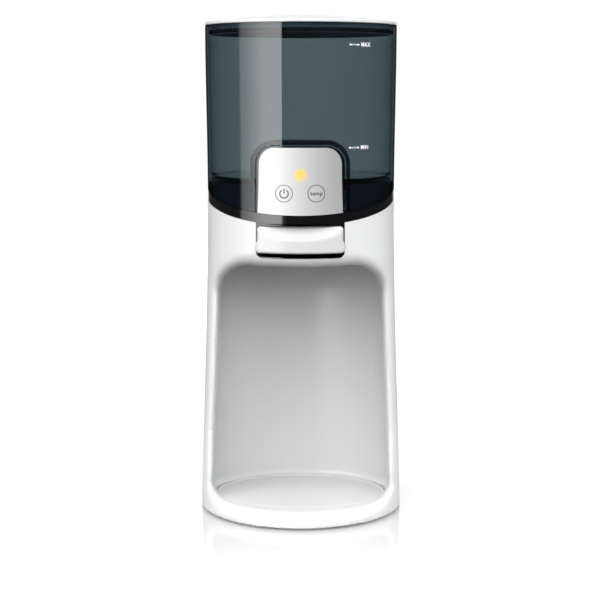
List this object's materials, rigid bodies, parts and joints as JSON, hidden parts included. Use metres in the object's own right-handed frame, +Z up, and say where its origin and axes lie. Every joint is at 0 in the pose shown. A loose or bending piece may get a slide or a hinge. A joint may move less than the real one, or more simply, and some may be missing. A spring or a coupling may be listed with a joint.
{
  "type": "warm water dispenser for baby formula",
  "caption": "Countertop warm-water dispenser for baby bottles: smoked lift-off tank over a white oval body with an open bottle bay, thumb lever and control panel.",
  "frame": {"origin": "centre of the oval base, on the table it stands on", "axes": "+Z up, the bottle bay, lever and control panel face -Y, +X to the right seen from the front"},
  "size_m": [0.15, 0.165, 0.3652],
  "materials": {
    "white_gloss": "glossy white moulding",
    "white_matte": "satin white moulding",
    "panel_white": "satin white moulding",
    "black_gloss": "glossy black moulding",
    "dark_matte": "fine texture",
    "smoked_clear": "smoked clear copolyester, polished",
    "amber_lens": "translucent",
    "clear_resin": "clear epoxy",
    "silicone": "silicone",
    "silicone_grey": "silicone",
    "rubber_dark": "moulded",
    "steel": "stainless",
    "heater_metal": "cast",
    "board_green": "solder mask",
    "wire_red": "silicone sleeve",
    "cable_grey": "flat ribbon"
  },
  "bodies": {
    "base": {"front_housing": "white_gloss", "rear_housing": "white_gloss", "base_plate": "white_matte", "rubber_feet": "rubber_dark", "base_screws": "steel", "dock_collar": "black_gloss", "socket_seal": "silicone", "control_pod": "black_gloss", "control_panel": "panel_white", "status_lens": "amber_lens", "status_led": "clear_resin", "button_switches": "dark_matte", "control_board": "board_green", "lever_frame": "black_gloss", "lever_pin": "steel", "valve_spring": "steel", "valve_body": "white_matte", "spout_nozzle": "white_matte", "outlet_hose": "silicone", "heater_mount": "dark_matte", "heater_plate": "heater_metal", "heater_pot": "steel", "heater_lid": "white_matte", "inlet_hose": "silicone", "temperature_probe": "steel", "main_board": "board_green", "board_screws": "steel", "power_inlet": "dark_matte", "mains_wires": "wire_red", "heater_wires": "wire_red", "control_cable": "cable_grey"},
    "tank": {"water_tank": "smoked_clear", "tank_valve_cage": "dark_matte", "plunger_spring": "steel"},
    "plunger": {"tank_plunger": "white_matte", "plunger_seal": "silicone"},
    "lid": {"tank_lid": "white_gloss", "lid_liner": "dark_matte", "lid_gasket": "silicone_grey"},
    "lever": {"dispense_lever": "white_gloss"},
    "stem": {"valve_stem": "white_matte", "valve_disc": "silicone"},
    "power_key": {"power_button": "panel_white"},
    "temp_key": {"temp_button": "panel_white"},
    "tray": {"drip_tray": "white_gloss"}
  },
  "joints": [
    {"name": "tank_lift", "type": "slide", "parent": "base", "child": "tank", "axis": [0, 0, 1], "range_m": [0, 0.15]},
    {"name": "plunger_drop", "type": "slide", "parent": "tank", "child": "plunger", "axis": [0, 0, -1], "range_m": [0, 0.004], "deforming": ["plunger_spring"]},
    {"name": "lid_lift", "type": "slide", "parent": "tank", "child": "lid", "axis": [0, 0, 1], "range_m": [0, 0.04]},
    {"name": "lever_press", "type": "hinge", "parent": "base", "child": "lever", "pos_m": [0, -0.046, 0.209], "axis": [1, 0, 0], "range_deg": [0, 5]},
    {"name": "stem_lift", "type": "slide", "parent": "base", "child": "stem", "axis": [0, 0, 1], "range_m": [0, 0.003], "deforming": ["valve_spring"]},
    {"name": "power_press", "type": "slide", "parent": "base", "child": "power_key", "axis": [0, 1, 0], "range_m": [0, 0.0008], "stiffness_N_per_m": 400},
    {"name": "temp_press", "type": "slide", "parent": "base", "child": "temp_key", "axis": [0, 1, 0], "range_m": [0, 0.0008], "stiffness_N_per_m": 400},
    {"name": "tray_lift", "type": "slide", "parent": "base", "child": "tray", "axis": [0, 0, 1], "range_m": [0, 0.02]}
  ],
  "couplings": [
    {"joint": "plunger_drop", "follows": "tank_lift", "ratio": 0.02666},
    {"joint": "stem_lift", "follows": "lever_press", "m_per_rad": 0.034}
  ]
}
